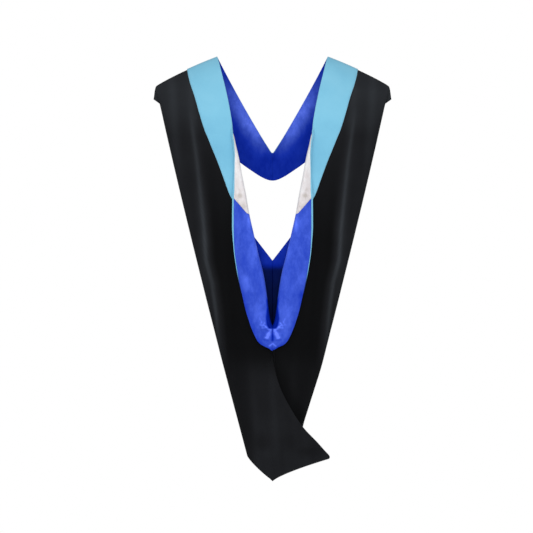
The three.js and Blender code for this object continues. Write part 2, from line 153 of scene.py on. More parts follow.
# Back sections: free, roll, side, hem, out, turn, flap, lip, round
BACK = [
    (0.0, 0.0, 0.068, 0.099, 1.0, 0, 0, 0.15, 1),
    (0.012, 0.012, 0.078, 0.112, 0.972, 0, 0, 0.15, 0.85),
    (0.035, 0.035, 0.09, 0.127, 0.927, 0, 0, 0.2, 0.6),
    (0.078, 0.078, 0.118, 0.153, 0.845, 0, 0, 0.3, 0.3),
    (0.123, 0.123, 0.151, 0.184, 0.773, 0, 0, 0.6, 0.1),
    (0.167, 0.167, 0.191, 0.219, 0.724, 0, 0, 1, 0),
    (0.175, 0.176, 0.201, 0.23, 0.716, 0.4, 0.045, 0.6, 0),
    (0.183, 0.184, 0.211, 0.241, 0.7055, 0.68, 0.06, 0.45, 0),
    (0.203, 0.207, 0.235, 0.27, 0.667, 0.83, 0.061, 0.45, 0),
    (0.236, 0.24, 0.269, 0.309, 0.607, 0.96, 0.131, 0.45, 0),
    (0.271, 0.281, 0.307, 0.354, 0.55, 1, 0.256, 0.45, 0),
    (0.309, 0.325, 0.347, 0.394, 0.482, 1, 0.457, 0.8, 0),
    (0.329, 0.3745, 0.392, 0.431, 0.418, 1, 0.62, 1, 0),
    (0.394, 0.415, 0.427, 0.458, 0.345, 1, 0.8, 0.75, 0),
    (0.448, 0.465, 0.472, 0.48, 0.255, 1, 0.945, 0.4, 0),
    (0.502, 0.514, 0.519, 0.526, 0.16, 1, 1.03, 0.3, 0),
    (0.557, 0.564, 0.566, 0.571, 0.098, 1, 0.967, 0.15, 0),
    (0.607, 0.616, 0.617, 0.62, 0.044, 1, 0.881, 0.15, 0),
    (0.621, 0.629, 0.63, 0.632, 0.02, 1, 0.862, 0.15, 0),
    (0.634, 0.637, 0.639, 0.641, 0, 1, 0.854, 0.15, 0),
    (0.661, 0.664, 0.667, 0.667, 0, 1, 0.651, 0.15, 0),
    (0.672, 0.676, 0.679, 0.679, 0, 1, 0.528, 0.15, 0),
    (0.6785, 0.6845, 0.6875, 0.6875, 0, 1, 0.385, 0.15, 0),
]

# The velvet's width at the first back sections, as shares of VELVET_WIDTH, which it has at the others
VELVET_SHARES = [1.04, 1.06, 1.06, 1.02, 0.98, 0.88, 0.878, 0.917, 0.901, 0.904, 0.931, 1.002]
VELVET_SHARES += [1] * (len(BACK) - len(VELVET_SHARES))

# Tail sections: ridge, centre, side, ridge out, turn, draw, bag
TAIL = [
    (0.689, 0.6925, 0.6955, 0.02, 0.85, 0.0, 1),
    (0.729, 0.729, 0.729, 0.035, 0, 0.0, 1),
    (0.774, 0.775, 0.774, 0.125, 0, 0.02, 0.95),
    (0.821, 0.824, 0.821, 0.287, 0, 0.05, 0.85),
    (0.873, 0.885, 0.87, 0.53, 0, 0.08, 0.72),
    (0.908, 0.945, 0.908, 0.766, 0, 0.05, 0.45),
    (0.93, 0.982, 0.928, 0.906, 0, 0.02, 0.18),
    (0.9375, 0.994, 0.9345, 0.956, 0, 0.01, 0.09),
    (0.9425, 0.9985, 0.9375, 0.974, 0, 0.0, 0.06),
    (0.9465, 1.0, 0.938, 0.962, 0, 0.0, 0.05),
]

# Folds down the back: top, bottom, top out, bottom out, height, width
FOLDS = [
    (0.08, 0.72, 0.75, 0.97, 1, 1),
    (0.2, 0.66, 0.58, 0.72, -0.7, 1.2),
    (0.7, 1.05, 0.55, 0.6, 0.8, 1),
]

# Lines of the CAD's grid and how finely each interval between them is cut here
LIP_AT, ROLL_AT, VELVET_AT, SIDE_AT, LAST_AT = 1, 5, 9, 15, 19
ROLL_PARTS = 4
BACK_SHARES = [0.2, 0.4, 0.6, 0.78, 0.91, 1]
UNDER_SHARES = [0.14, 0.38, 0.7, 1]
PARTS = {1: 16, 2: 16, 3: 3, 4: 3, 5: 3, 6: 3, 7: 5, 8: 5, 15: 6, 16: 8, 17: 8}
OTHER_PARTS = 6
LIP_CUT = [0, 0.5, 0.88]
HEM_PARTS = 10
HEM_CROWDING = 1.6
CUTS = [LIP_CUT]
CUTS += [list(np.linspace(0, 1, PARTS.get(i, OTHER_PARTS) + 1)[:-1]) for i in range(LIP_AT, LAST_AT - 1)]
CUTS += [list(1 - (1 - np.linspace(0, 1, HEM_PARTS + 1)[:-1]) ** HEM_CROWDING)]
LINE_AT = np.concatenate([[0], np.cumsum([len(cut) for cut in CUTS])])
LIP_LINE, ROLL_LINE, VELVET_LINE, SIDE_LINE, LAST_LINE = (
    int(LINE_AT[i]) for i in (LIP_AT, ROLL_AT, VELVET_AT, SIDE_AT, LAST_AT)
)

# Sections where something begins or ends, counted on from the first back section, at the shoulder
SHOULDER_ROW = len(FRONT)
CHEVRON_TOP_ROW = SHOULDER_ROW + 4
CHEVRON_END_ROW = SHOULDER_ROW + 12
NOTCH_ROW = SHOULDER_ROW + 14
LIP_END_ROW = SHOULDER_ROW + 16
THROAT_ROW = SHOULDER_ROW + 17
VELVET_END_ROW = SHOULDER_ROW + 19
POINT_ROW = SHOULDER_ROW + len(BACK) - 1

# How finely the sections' curves and the rows between them are cut
ROW_STEP = 5.0
THROAT_ROW_STEP = 1.7
FIRST_ROW_CROWDING = 1.5
CURVE_STEPS = 96
ARC_STEPS = 24
CORNERS = [(0, 0), (0, 1), (1, 0), (1, 1)]

# Rounding of the side fold: strength, lines over which it falls by 1, rounds. Rounds of evening the normals
RELAX_STRENGTH = 1.6
RELAX_LINES = 3.0
RELAX_ROUNDS = 4
NORMAL_ROUNDS = 2

# Relief of the cloth, in millimetres. A pair says where a part of it fades in or out
TACK = -683.0
WAVES = 9
WAVE_RATES = (0.6, 1.7)
RELIEF_SEEDS = {"left": 11, "right": 23}
BACK_RELIEF = (10, -50)
FRONT_RELIEF = (20, 70)
NECK_RELIEF = (-60, 0)
NECK_CALM = 0.7
TURNED_TOP = (210, 300)
TURNED_END = (690, 730)
TURNED_DEPTH = (-80, -95)
TURNED_OUT = (70, 100)
LONG_ACROSS = 17
LONG_SLANT = 160
LONG_DOWN = 120
LONG_TOP = (90, 220)
LONG_END = (900, 1050)
LONG_END_CALM = 0.5
LONG_HEIGHT = 1.3
CREASE_ACROSS = 7.5
CREASE_DOWN = 11
CREASE_HEIGHT = 0.55
FINE_ACROSS = 4.5
FINE_DOWN = 6
FINE_SHARE = 0.5
FRONT_ACROSS = 16
FRONT_DOWN = 20
FRONT_HEIGHT = 0.9
PLEATS = 7
PLEAT_REACH = 26
PLEAT_START = 5
PLEAT_DEPTH = (-90, -110)
PLEAT_HEIGHT = 1.4
SEAM_HALF_WIDTH = 3.5
FRONT_SEAM_HEIGHT = 0.9
TAIL_SEAM_HEIGHT = 0.6
TAIL_SEAM_TOP = (735, 760)
TAIL_SEAM_DEPTH = (-60, -80)


def lerp(a, b, share):
    return a + (b - a) * share


def bump(share):
    return 4 * share * (1 - share)


def smooth(low, high, value):
    share = np.clip((value - low) / (high - low), 0, 1)
    return share * share * (3 - 2 * share)


def within(top, end, value):
    """1 between the two pairs. It fades in over the first and out over the second."""
    return smooth(*top, value) * (1 - smooth(*end, value))


def hill(distance, width):
    return np.exp(-((distance / width) ** 2))


def vec(x, y, z):
    return np.array([x, y, z], float)


def settle(depth, slope, curve, drop):
    return depth * (1 - math.exp(-((max(drop, 0) / slope) ** curve)))


def bag_at(drop):
    return -settle(BAG_DEPTH, NECK_SLOPE, NECK_CURVE, drop)


def fold_at(drop):
    return -settle(SIDE_DEPTH, SIDE_SLOPE, SIDE_CURVE, drop - SHOULDER_DROP)


def under_at(drop):
    return SHOULDER_END_FORWARD - settle(UNDER_DEPTH, UNDER_SLOPE, 1, drop - SHOULDER_END_DROP)


def side_at(drop):
    share = np.clip((drop - SHOULDER_DROP) / (SIDE_END_DROP - SHOULDER_DROP), 0, 1)
    belly = SIDE_BELLY * np.sin(math.pi * share**SIDE_BELLY_POWER)
    return lerp(SHOULDER_HALF_WIDTH, SIDE_END_HALF_WIDTH, share) + belly


def under_hem_at(drop):
    tucked_in = (drop - SHOULDER_END_DROP) / SHOULDER_TUCK_DROP
    if tucked_in < 1:
        return SHOULDER_END_HALF_WIDTH - SHOULDER_TUCK * tucked_in
    top = SHOULDER_END_DROP + SHOULDER_TUCK_DROP
    share = min((drop - top) / (NOTCH_DROP - top), 1)
    out = lerp(SHOULDER_END_HALF_WIDTH - SHOULDER_TUCK, 0, share) + NOTCH_BEND * bump(share)
    return max(out, SEAM_GAP / 2)


def bezier(a, b, c, d):
    t = np.linspace(0, 1, CURVE_STEPS + 1)[:, None]
    return a * (1 - t) ** 3 + 3 * b * t * (1 - t) ** 2 + 3 * c * t**2 * (1 - t) + d * t**3


def side_handle(rounding, backwards):
    width = rounding * SHOULDER_ROUNDING
    return vec(-width, backwards * (1 - rounding), width * SHOULDER_HANDLE_RISE)


def lengths(points):
    return np.concatenate([[0], np.cumsum(np.linalg.norm(np.diff(points, axis=0), axis=1))])


def along(points, total, at):
    return np.stack([np.interp(at, total, points[:, k]) for k in range(3)], -1)


def sample_section(flap, arc, back, under, lip, velvet_share=1):
    """The section's points on every fine line, by length from the free edge."""
    upper = np.concatenate([np.reshape(flap, (-1, 3)), np.reshape(arc, (-1, 3)), back])
    total = lengths(upper)
    roll_top = max(total[len(flap)], lip + LEAST_WIDTH)
    roll_end = max(total[len(flap) + len(arc)], roll_top + LEAST_ROLL)
    velvet_end = max(VELVET_WIDTH * velvet_share, roll_end + LEAST_WIDTH)
    velvet_end = min(velvet_end, total[-1] - LEAST_WIDTH)
    stops = [0, lip, lerp(lip, roll_top, 0.5)]
    stops += [lerp(roll_top, roll_end, i / ROLL_PARTS) for i in range(ROLL_PARTS + 1)]
    stops += [lerp(roll_end, velvet_end, 0.5), velvet_end]
    stops += [lerp(velvet_end, total[-1], share) for share in BACK_SHARES]
    fine = [lerp(stops[i], stops[i + 1], cut) for i in range(SIDE_AT) for cut in CUTS[i]]
    upper_points = along(upper, total, np.array(fine))
    under_total = lengths(under)
    shares = [0] + UNDER_SHARES
    fine = [
        lerp(shares[i], shares[i + 1], cut)
        for i in range(len(UNDER_SHARES))
        for cut in CUTS[SIDE_AT + i]
    ]
    under_points = along(under, under_total, np.array(fine + [1]) * under_total[-1])
    return np.concatenate([upper_points, under_points])


def front_hem_drop(share):
    """Round at the middle seam, straight beyond, and at the shoulder's end where the hem begins."""
    straight = FRONT_HEM_SLOPE * SHOULDER_END_HALF_WIDTH
    rise = math.hypot(FRONT_HEM_ROUNDING, straight * share) - FRONT_HEM_ROUNDING
    whole = math.hypot(FRONT_HEM_ROUNDING, straight) - FRONT_HEM_ROUNDING
    bottom = FRONT_POINT_DROP + FRONT_POINT_WIDTH
    return bottom - rise * lerp(1, (bottom - SHOULDER_END_DROP) / whole, share * share)


def front_edge_rise(share):
    """Flat at the bottom of the neck's V, straight beyond, 1 at the shoulder."""
    rise = (share**4 + FRONT_EDGE_ROUNDING**4) ** 0.25 - FRONT_EDGE_ROUNDING
    return rise / (1 - FRONT_EDGE_ROUNDING)


def front_section(row):
    edge_share, edge_forward, hem_share, hem_forward, fold_share, rounding = row
    edge = vec(
        max(NECK_HALF_WIDTH * edge_share, SEAM_GAP / 2),
        CHEST_DEPTH * edge_forward,
        -FRONT_POINT_DROP * (1 - front_edge_rise(edge_share)) - FRONT_EDGE_BEND * bump(edge_share),
    )
    hem = vec(
        max(SHOULDER_END_HALF_WIDTH * hem_share, SEAM_GAP / 2),
        CHEST_DEPTH * hem_forward,
        -front_hem_drop(hem_share),
    )
    fold = lerp(edge, hem, fold_share) + vec(rounding * CORNER_WIDTH, 0, rounding * CORNER_HEIGHT)
    third = (fold - edge) / 3
    handle = third * (rounding - 1) + side_handle(rounding, 0)
    upper = bezier(edge, edge + third + vec(0, FRONT_SWELL_DEPTH, FRONT_SWELL_HEIGHT), fold + handle, fold)
    first, second = (lerp(fold, hem, share) for share in FRONT_UNDER_HANDLES)
    under = bezier(fold, first, second, hem)
    return sample_section([], [], upper, under, FRONT_LIP)


def raised_by_folds(points):
    drop = -points[:, 2] / HOOD_LENGTH
    for top, bottom, top_out, bottom_out, height, width in FOLDS:
        share = np.clip((drop - top) / (bottom - top), 0, 1)
        out = lerp(top_out, bottom_out, share) * side_at(-points[:, 2])
        near = (points[:, 0] - out) / (FOLD_WIDTH * width)
        points[:, 1] -= FOLD_HEIGHT * height * np.sin(math.pi * share) * np.exp(-near * near)
    return points


def back_curve(start, fold, rounding, fullness, sag):
    inner = lerp(start, fold, BACK_HANDLE_OUT)
    inner[1] = lerp(start[1], fold[1], BACK_HANDLE_DEPTH + BACK_HANDLE_ROUND_DEPTH * rounding)
    inner[2] += rounding * SHOULDER_RISE - sag
    outer = fold + side_handle(rounding, -fullness)
    outer[2] -= sag
    return raised_by_folds(bezier(start, inner, outer, fold))


def under_curve(fold, hem, rounding):
    swell = UNDER_SWELL_DEPTH * (1 - rounding)
    outer = fold + vec(CORNER_WIDTH / 2 * rounding, swell, -CORNER_WIDTH * rounding)
    inner = lerp(hem, fold, 0.5)
    inner[1] = hem[1]
    return bezier(fold, outer, inner, hem)


def pressed_at(drop):
    """How far the two rolls press into each other below the throat."""
    return ROLLS_PRESSED * within(PRESSED_TOP, PRESSED_END, drop)


def turned_edge(start, turn, flap_length, place):
    angle = math.pi * turn
    foot = place(0, 0) if flap_length > 0 else start
    shares = [step / ARC_STEPS for step in range(ARC_STEPS, 0, -1)]
    flap = [place(flap_length * share, share) for share in shares] if flap_length > 0 else []
    arc = [
        vec(
            start[0] - ROLL_RADIUS * math.sin(angle * share),
            start[1] - ROLL_RADIUS * (1 - math.cos(angle * share)),
            lerp(start[2], foot[2], share),
        )
        for share in (shares if turn > 0 else [])
    ]
    return flap, arc


def straight_flap(start, turn, reach):
    angle = math.pi * turn
    return vec(
        start[0] - ROLL_RADIUS * math.sin(angle) - reach * math.cos(angle),
        start[1] - ROLL_RADIUS * (1 - math.cos(angle)) - reach * math.sin(angle),
        start[2],
    )


def back_section(row, velvet_share):
    free, roll, side, hem_share, out_share, turn, flap_share, lip, rounding = row
    drop = roll * HOOD_LENGTH
    side_drop = max(side * HOOD_LENGTH, SHOULDER_DROP)
    hem_drop = max(hem_share * HOOD_LENGTH, SHOULDER_END_DROP)
    tucked = BACKING + ROLL_RADIUS if turn > 0 else 0
    out = max(out_share * NECK_HALF_WIDTH, SEAM_GAP / 2 if turn > 0 else 0) + tucked - pressed_at(drop)
    start = vec(out, bag_at(drop), -drop)
    fold = vec(side_at(side_drop), fold_at(side_drop), -side_drop)
    hem = vec(under_hem_at(hem_drop), under_at(hem_drop), -hem_drop)
    back = back_curve(start, fold, rounding, SIDE_SWELL_DEPTH, 0)
    back_length = lengths(back)
    rise = (roll - free) * HOOD_LENGTH * ROLL_RADIUS / (ROLL_RADIUS + flap_share * TURN_OUT_WIDTH)

    def place(reach, share):
        end = straight_flap(start, turn, reach)
        if turn == 1:
            behind = along(back, back_length, reach)
            end[0] = behind[0]
            end[1] = behind[1] - lerp(2 * ROLL_RADIUS, FOLDED_STACK, share * share)
        end[2] = lerp(start[2] + rise, -free * HOOD_LENGTH, share)
        return end

    flap, arc = turned_edge(start, turn, flap_share * TURN_OUT_WIDTH, place)
    under = under_curve(fold, hem, rounding)
    return sample_section(flap, arc, back, under, VELVET_LIP * lip, velvet_share)


def tail_section(row, half):
    ridge_share, centre, side, ridge_out, left_turn, draw, bag = row
    is_left = half == "left"
    ridge = ridge_out * FIN_REACH
    centre_drop = centre * HOOD_LENGTH
    side_drop = side * HOOD_LENGTH
    out = SEAM_GAP / 2 + BACKING + ROLL_RADIUS - pressed_at(centre_drop)
    hem_slope = (centre_drop - side_drop) / side_at(side_drop)
    drawn = under_at(centre_drop) - TAIL_POINT_DEPTH
    start = vec(out, lerp(drawn - CLOSED_DEPTH, bag_at(centre_drop), bag), out * hem_slope - centre_drop)
    fold = vec(side_at(side_drop), lerp(drawn, fold_at(side_drop), bag), -side_drop)
    hem = vec(SEAM_GAP / 2, lerp(drawn, under_at(centre_drop), bag), -centre_drop)
    turn = left_turn if is_left else 1
    flap_length = (ridge + out) * (1 - turn) if is_left else max(ridge - out, LEAST_WIDTH)
    if is_left:
        start[1] -= (2 * ROLL_RADIUS + TAIL_PANEL_GAP) * (1 - turn)
    else:
        fold[0] *= 1 - draw

    def place(reach, _share):
        end = straight_flap(start, turn, reach)
        across = np.clip(-end[0] / ridge if is_left else end[0] / max(ridge, start[0] + flap_length), 0, 1)
        end[2] = -lerp(centre, ridge_share, across**FIN_SAG) * HOOD_LENGTH
        if is_left:
            end[2] += max(end[0], 0) * hem_slope
        return end

    flap, arc = turned_edge(start, turn, flap_length, place)
    fullness = lerp(CLOSED_SWELL_DEPTH, SIDE_SWELL_DEPTH, bag)
    back = back_curve(start, fold, 0, fullness, TAIL_SAG * (1 - bag) * is_left)
    return sample_section(flap, arc, back, under_curve(fold, hem, 0), FRONT_LIP)


def slopes(x, y):
    """Slopes of a curve through the rows that never overshoots them."""
    h = np.diff(x)[:, None, None]
    d = np.diff(y, axis=0) / h
    w1 = 2 * h[1:] + h[:-1]
    w2 = h[1:] + 2 * h[:-1]
    safe = d[:-1] * d[1:] > 0
    low = np.where(safe, d[:-1], 1)
    high = np.where(safe, d[1:], 1)
    inner = np.where(safe, (w1 + w2) / (w1 / low + w2 / high), 0)
    return np.concatenate([d[:1], inner, d[-1:]])


def through_rows(x, y, at):
    m = slopes(x, y)
    k = np.clip(np.searchsorted(x, at, side="right") - 1, 0, len(x) - 2)
    h = (x[k + 1] - x[k])[:, None, None]
    t = ((at - x[k]) / (x[k + 1] - x[k]))[:, None, None]
    return (
        y[k] * (1 + 2 * t) * (1 - t) ** 2
        + m[k] * h * t * (1 - t) ** 2
        + y[k + 1] * t * t * (3 - 2 * t)
        + m[k + 1] * h * t * t * (t - 1)
    )


def fine_rows(rows):
    """The sections with rows put in between, and the place of each section among the rows."""
    step = np.linalg.norm(np.diff(rows, axis=0), axis=2).mean(axis=1)
    x = np.concatenate([[0], np.cumsum(step)])
    at = [0.0]
    row_at = [0]
    for k in range(len(rows) - 1):
        at_throat = THROAT_ROW - 1 <= k < POINT_ROW
        count = max(2, round(step[k] / (THROAT_ROW_STEP if at_throat else ROW_STEP)))
        shares = np.linspace(0, 1, count + 1)[1:]
        if k == 0:
            shares = shares**FIRST_ROW_CROWDING
        at += list(lerp(x[k], x[k + 1], shares))
        row_at.append(len(at) - 1)
    at = np.array(at)
    whole = through_rows(x, rows, at)
    cut = row_at[NOTCH_ROW]
    above = through_rows(x[: NOTCH_ROW + 1], rows[: NOTCH_ROW + 1], at[: cut + 1])
    below = through_rows(x[NOTCH_ROW:], rows[NOTCH_ROW:], at[cut:])
    split = np.concatenate([above, below[1:]])
    weight = smooth(SIDE_LINE, LAST_LINE, np.arange(whole.shape[1]))[None, :, None]
    return lerp(whole, split, weight), row_at


def relaxed(grid):
    """Rounds off the crease along the side fold."""
    lines = np.arange(grid.shape[1])
    weight = np.clip(RELAX_STRENGTH - np.abs(lines - SIDE_LINE) / RELAX_LINES, 0, 1)[None, 1:-1, None]
    for _ in range(RELAX_ROUNDS):
        middle = (grid[:, :-2] + 2 * grid[:, 1:-1] + grid[:, 2:]) / 4
        grid[:, 1:-1] = lerp(grid[:, 1:-1], middle, weight)
    return grid


def ripple(a, b, seed):
    """Smooth irregular waves of about unit height over a and b, the same each run."""
    rng = np.random.default_rng(seed)
    total = np.zeros_like(a)
    for _ in range(WAVES):
        angle = rng.uniform(0, math.pi)
        rate = rng.uniform(*WAVE_RATES)
        phase = rng.uniform(0, 2 * math.pi)
        total += np.sin(rate * (a * math.cos(angle) + b * math.sin(angle)) + phase)
    return total / math.sqrt(WAVES)


def crumpled(grid, half):
    """Soft folds and creases. All layers move with the grid, so none meets another."""
    sign = -1 if half == "left" else 1
    x = grid[..., 0] * sign
    y = grid[..., 1]
    z = grid[..., 2]
    seed = RELIEF_SEEDS[half]
    back = smooth(*BACK_RELIEF, y)
    front = smooth(*FRONT_RELIEF, y)
    drop = -z
    turned = within(TURNED_TOP, TURNED_END, drop) * smooth(*TURNED_DEPTH, y)
    turned = turned * (1 - smooth(*TURNED_OUT, np.abs(x)))
    long_folds = ripple(x / LONG_ACROSS + drop / LONG_SLANT, drop / LONG_DOWN, seed) * smooth(*LONG_TOP, drop)
    long_folds = long_folds * (1 - LONG_END_CALM * smooth(*LONG_END, drop))
    creases = ripple(x / CREASE_ACROSS, drop / CREASE_DOWN, seed + 1)
    creases = creases + FINE_SHARE * ripple(x / FINE_ACROSS, drop / FINE_DOWN, seed + 2)
    across = np.hypot(x, (z - TACK))
    angle = np.arctan2(x, -(z - TACK))
    pinch = hill(across, PLEAT_REACH) * (1 - hill(across, PLEAT_START))
    pleats = np.cos(PLEATS * np.abs(angle)) * pinch * smooth(*PLEAT_DEPTH, y)
    seam = hill(x, SEAM_HALF_WIDTH)
    lift = back * (LONG_HEIGHT * long_folds * (1 - turned) + CREASE_HEIGHT * creases * turned)
    lift = lift + PLEAT_HEIGHT * pleats
    for points, half_width, height in TACK_CREASES:
        lift = lift + height * turned * hill(near_line(x * sign, drop, points), half_width)
    band = ripple(x / FRONT_ACROSS, drop / FRONT_DOWN, seed + 3) * FRONT_HEIGHT * front
    edge = 1 - NECK_CALM * smooth(*NECK_RELIEF, z)
    grid[..., 1] += edge * (band - lift)
    grid[..., 1] -= FRONT_SEAM_HEIGHT * seam * front
    tail_seam = seam * smooth(*TAIL_SEAM_TOP, drop) * smooth(*TAIL_SEAM_DEPTH, y)
    grid[..., 1] += TAIL_SEAM_HEIGHT * tail_seam
    return grid


def unit(vectors):
    return vectors / np.maximum(np.linalg.norm(vectors, axis=2, keepdims=True), TINY)


def normals_of(grid, notch):
    """Directions square to the cloth, towards its outer face. On the middle seams they stay in the seam."""
    wide = np.pad(grid, ((0, 0), (1, 1), (0, 0)), mode="edge")
    tall = np.pad(grid, ((1, 1), (0, 0), (0, 0)), mode="edge")
    normal = unit(np.cross(tall[2:] - tall[:-2], wide[:, 2:] - wide[:, :-2]))
    for _ in range(NORMAL_ROUNDS):
        normal[:, 1:-1] = (normal[:, :-2] + 2 * normal[:, 1:-1] + normal[:, 2:]) / 4
        normal[1:-1] = (normal[:-2] + 2 * normal[1:-1] + normal[2:]) / 4
    normal[0, :, 0] = 0
    normal[notch:, -1, 0] = 0
    return unit(normal)


def steps_inwards(pad, shape):
    """For each vertex, the way in rows and in lines from the edge of the covered cells to their inside."""
    row_step = np.zeros(shape, int)
    line_step = np.zeros(shape, int)
    for row, line in CORNERS:
        near = pad[row : row + shape[0], line : line + shape[1]]
        row_step += near * (2 * row - 1)
        line_step += near * (2 * line - 1)
    return np.sign(row_step), np.sign(line_step)


def towards(points, row_step, line_step, distance):
    """How far each vertex moves to lie that distance in from the edge, at most a share of the next cell."""
    rows, lines = points.shape[:2]
    j, i = np.mgrid[0:rows, 0:lines]
    shift = np.zeros_like(points)
    for step_j, step_i in ((row_step, 0 * line_step), (0 * row_step, line_step)):
        to = points[np.clip(j + step_j, 0, rows - 1), np.clip(i + step_i, 0, lines - 1)] - points
        size = np.linalg.norm(to, axis=2, keepdims=True)
        shift += to / np.maximum(size, TINY) * np.minimum(distance, RIM_CELL_SHARE * size)
    return shift


def cloth(name, grid, normal, tone, cells, inner, outer, notch, half):
    """One layer of cloth as a closed slab, with rounded edges but where the halves are sewn together."""
    shape = grid.shape[:2]
    gap = towards(grid, *steps_inwards(np.pad(cells, 1, mode="edge"), shape), PANEL_GAP / 2)
    sewn = np.pad(cells, 1)
    sewn[0] = sewn[1]
    sewn[notch + 1 :, -1] = sewn[notch + 1 :, -2]
    row_step, line_step = steps_inwards(sewn, shape)
    inner = np.broadcast_to(inner, shape)[..., None]
    outer = np.broadcast_to(outer, shape)[..., None]
    radius = (outer - inner) / 2
    rounding = towards(grid, row_step, line_step, np.minimum(radius, RIM_RADIUS))
    seat = grid + gap
    rings = [
        seat + rounding + normal * outer,
        seat + normal * (outer + inner) / 2,
        seat + rounding + normal * inner,
    ]
    used = np.zeros(shape, bool)
    inside = np.ones(shape, bool)
    bare = np.pad(cells, 1)
    for row, line in CORNERS:
        used[row : row + cells.shape[0], line : line + cells.shape[1]] |= cells
        inside &= bare[row : row + shape[0], line : line + shape[1]]
    edge = used & ~inside
    ids = np.full((3,) + shape, -1)
    ids[0][used] = np.arange(used.sum())
    ids[1][edge] = used.sum() + np.arange(edge.sum())
    ids[2][used] = used.sum() + edge.sum() + np.arange(used.sum())
    points = np.concatenate([rings[0][used], rings[1][edge], rings[2][used]])
    tones = np.concatenate([tone[used], tone[edge], tone[used]])

    j, i = np.nonzero(cells)
    corners = [(j, i), (j + 1, i), (j + 1, i + 1), (j, i + 1)]
    faces = [np.stack([ids[0][c] for c in corners], 1), np.stack([ids[2][c] for c in corners[::-1]], 1)]
    sides = [
        ((0, 0), (0, 1), (-1, 0)),
        ((0, 1), (1, 1), (0, 1)),
        ((1, 1), (1, 0), (1, 0)),
        ((1, 0), (0, 0), (0, -1)),
    ]
    for first, second, beyond in sides:
        free = ~bare[j + 1 + beyond[0], i + 1 + beyond[1]]
        a = (j[free] + first[0], i[free] + first[1])
        b = (j[free] + second[0], i[free] + second[1])
        for ring in (0, 1):
            faces.append(np.stack([ids[ring + 1][a], ids[ring][a], ids[ring][b], ids[ring + 1][b]], 1))
    faces = np.concatenate(faces)
    points = points * MM
    if half == "left":
        points[:, 0] *= -1
        faces = faces[:, ::-1]
    return made_mesh(name, points, faces, tones, grid, used, edge)


def placed(name, data):
    thing = bpy.data.objects.new(name, data)
    bpy.context.collection.objects.link(thing)
    return thing


def made_mesh(name, points, faces, tones, grid, used, edge):
    across = np.cumsum(np.linalg.norm(np.diff(grid, axis=1), axis=2), 1)
    down = np.cumsum(np.linalg.norm(np.diff(grid, axis=0), axis=2), 0)
    weave = np.stack([np.pad(across, ((0, 0), (1, 0))), np.pad(down, ((1, 0), (0, 0)))], -1) * MM
    weave = np.concatenate([weave[used], weave[edge], weave[used]])
    mesh = bpy.data.meshes.new(name)
    mesh.vertices.add(len(points))
    mesh.vertices.foreach_set("co", points.astype(np.float32).ravel())
    mesh.loops.add(faces.size)
    mesh.loops.foreach_set("vertex_index", faces.ravel().astype(np.int32))
    mesh.polygons.add(len(faces))
    mesh.polygons.foreach_set("loop_start", np.arange(0, faces.size, 4, dtype=np.int32))
    mesh.polygons.foreach_set("use_smooth", np.ones(len(faces), bool))
    mesh.update(calc_edges=True)
    layer = mesh.uv_layers.new(name="Weave")
    layer.uv.foreach_set("vector", weave[faces.ravel()].astype(np.float32).ravel())
    attribute = mesh.attributes.new("tone", "FLOAT", "POINT")
    attribute.data.foreach_set("value", tones.astype(np.float32))
    mesh.validate()
    return placed(name, mesh)


def flat_size(grid, cells):
    """Width, length and area of a panel's cloth, in metres."""
    across = np.linalg.norm(np.diff(grid, axis=1), axis=2) * MM
    down = np.linalg.norm(np.diff(grid, axis=0), axis=2) * MM
    a = grid[1:, :-1] - grid[:-1, :-1]
    b = grid[:-1, 1:] - grid[:-1, :-1]
    area = (np.linalg.norm(np.cross(a, b), axis=2) * cells).sum() * MM * MM
    width = (across[:-1] * cells).sum(axis=1).max()
    length = (down[:, :-1] * cells).sum(axis=0).max()
    return width, length, area


# Painted brightness, mostly light and shade. All places are in millimetres: out from the middle seam and down
# from the shoulder.
# A pair says where a tone fades in or out. First comes the painted highlight along the long fold down the
# black cloth
STREAK_DROP = [100, 137, 257, 430, 507, 565, 642, 715, 800]
STREAK_OUT = [210, 206, 189, 171, 166, 151, 141, 134, 125]
STREAK_WIDTH = 4.3
STREAK_TONE = 0.42
STREAK_FADE = (-25, -3)
STREAK_TOP = (110, 200)
STREAK_END = (625, 775)
STREAK_SHOWN_DROP = [150, 350, 500]
STREAK_SHOWN = [0.5, 0.75, 1]

# Painted shade on the black cloth inside that fold, painted light outside it, and the fine stripes all over
# it
SHELL_INNER_DROP = [25, 150, 250, 350, 450, 725, 800, 1000]
SHELL_INNER_TONE = [0.5, 0.42, 0.25, 0.15, 0.085, 0.08, 0.14, 0.3]
SHELL_OUTER_DROP = [25, 87, 150, 200, 450, 725, 825, 1000]
SHELL_OUTER_TONE = [0.55, 0.62, 0.5, 0.36, 0.4, 0.36, 0.26, 0.24]
STRIPE_TONE = 0.09
STRIPE_ACROSS = 6
STRIPE_SLANT = 90
STRIPE_DOWN = 110
STRIPE_SEED = 31

# Front lining: how strongly it is lit along its free edge, by drop
FRONT_EDGE_OUT = [137.5, 0]
FRONT_EDGE_DROP = [0, 239]
FRONT_LIT_DROP = [15, 60, 107, 165, 185, 220, 252]
FRONT_LIT = [0, 0.27, 0.8, 0.92, 0.85, 0.36, 0]
FRONT_LIT_FADE = (14, 62)
FRONT_TONE = 0.28
FRONT_LIT_TONE = 0.68
